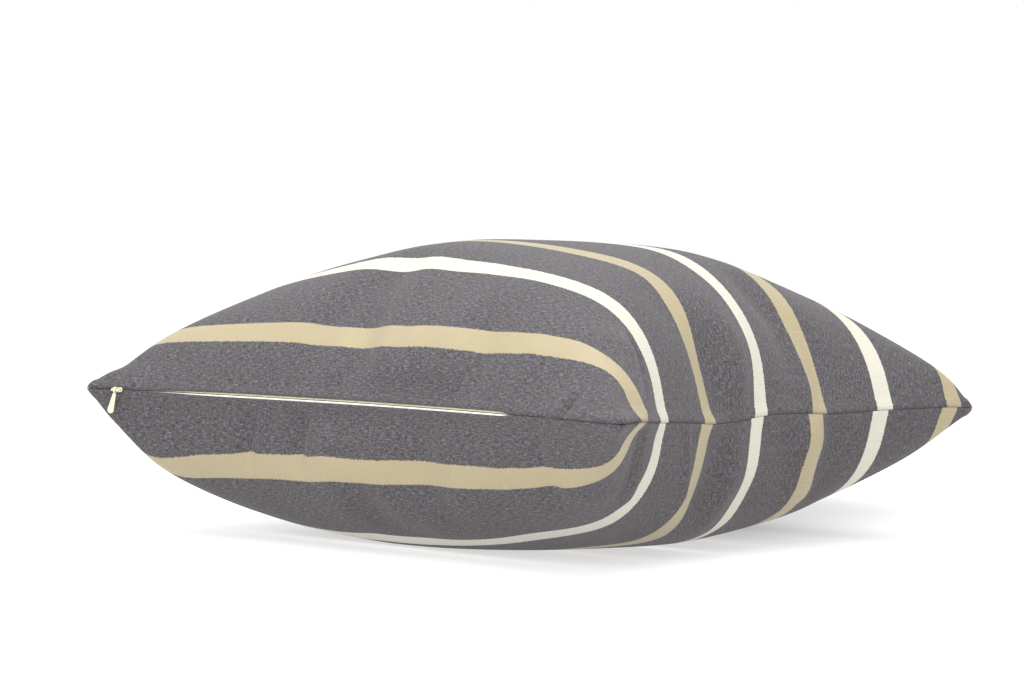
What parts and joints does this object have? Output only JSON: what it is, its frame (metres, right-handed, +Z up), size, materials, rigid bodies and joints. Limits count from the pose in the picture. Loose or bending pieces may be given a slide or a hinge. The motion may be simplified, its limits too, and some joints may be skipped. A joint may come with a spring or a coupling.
{
  "type": "throw pillow",
  "caption": "Square knife-edge throw pillow: striped woven cover with a concealed side zip, sliding slider and hinged pull, over a stuffed fibre insert.",
  "frame": {"origin": "centre of the floor area under the pillow, on the plane it rests on", "axes": "+Z up through the crown; X along the zip, whose closed end is at -X; the zip side faces -Y"},
  "size_m": [0.417, 0.417, 0.195],
  "materials": {
    "cover_cloth": "matte",
    "sewing_thread": "matte",
    "zip_tape": "matte",
    "zip_coil": "satin",
    "zip_metal": "gloss",
    "insert_cloth": "matte",
    "fibre": "matte",
    "label": "satin"
  },
  "bodies": {
    "cover": {"cover_top_panel": "cover_cloth", "cover_bottom_panel": "cover_cloth", "seam_thread_right": "sewing_thread", "seam_thread_back": "sewing_thread", "seam_thread_left": "sewing_thread", "seam_thread_zip_end": "sewing_thread", "overlock_right": "sewing_thread", "overlock_back": "sewing_thread", "overlock_left": "sewing_thread", "overlock_zip_upper": "sewing_thread", "overlock_zip_lower": "sewing_thread", "zip_stitch_upper": "sewing_thread", "zip_stitch_lower": "sewing_thread", "zip_tape_upper": "zip_tape", "zip_tape_lower": "zip_tape", "zip_coil_upper": "zip_coil", "zip_coil_lower": "zip_coil", "zip_top_stops": "zip_metal", "zip_bottom_stop": "zip_metal", "insert_top_panel": "insert_cloth", "insert_bottom_panel": "insert_cloth", "insert_seam_thread": "insert_cloth", "fibre_fill": "fibre", "care_label": "label"},
    "slider": {"zip_slider": "zip_metal"},
    "pull": {"zip_pull": "zip_metal"}
  },
  "joints": [
    {"name": "zip_slide", "type": "hinge", "parent": "cover", "child": "slider", "pos_m": [0, -0.90579, 0.093], "axis": [0, 0, -1], "range_deg": [0, 25.88]},
    {"name": "pull_swing", "type": "hinge", "parent": "slider", "child": "pull", "pos_m": [-0.18326, -0.2062, 0.093], "axis": [-0.9674, -0.2534, 0], "range_deg": [-8, 188]}
  ]
}
